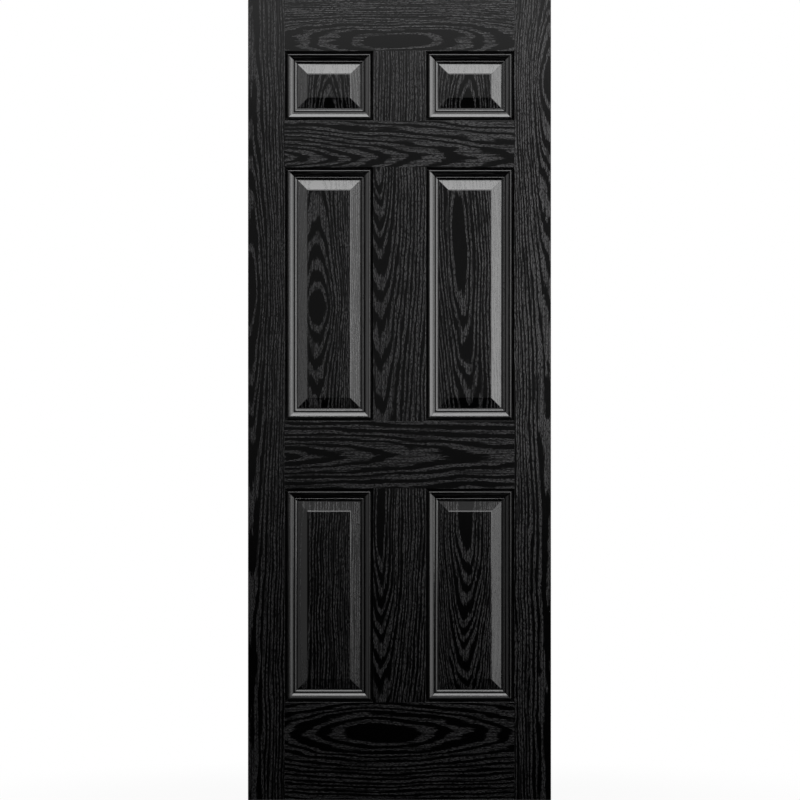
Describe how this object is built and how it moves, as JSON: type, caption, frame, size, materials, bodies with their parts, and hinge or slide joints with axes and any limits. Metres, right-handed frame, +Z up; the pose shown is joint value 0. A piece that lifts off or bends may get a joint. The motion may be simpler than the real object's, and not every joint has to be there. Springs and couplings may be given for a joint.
{
  "type": "panelled front door leaf",
  "caption": "Black moulded front door leaf with raised fielded panels and an embossed wood grain, skins over a timber frame and foam core.",
  "frame": {"origin": "middle of the leaf's bottom edge", "axes": "+Z up the leaf, +X to the right as seen from the street side, -Y towards the street"},
  "size_m": [0.762, 0.044, 2.032],
  "materials": {
    "skin": "black glass-reinforced moulding with embossed grain",
    "foam": "rigid polyurethane foam",
    "laminated_timber": "raw laminated veneer",
    "wood_composite": "sawn wood-filled plastic",
    "lipping": "satin extruded edging"
  },
  "bodies": {
    "root": {"outer_skin": "skin", "inner_skin": "skin", "foam_core": "foam", "left_stile": "laminated_timber", "right_stile": "laminated_timber", "top_rail": "laminated_timber", "left_lock_block": "laminated_timber", "right_lock_block": "laminated_timber", "bottom_rail": "wood_composite", "left_edge_lipping": "lipping", "right_edge_lipping": "lipping"}
  },
  "joints": []
}
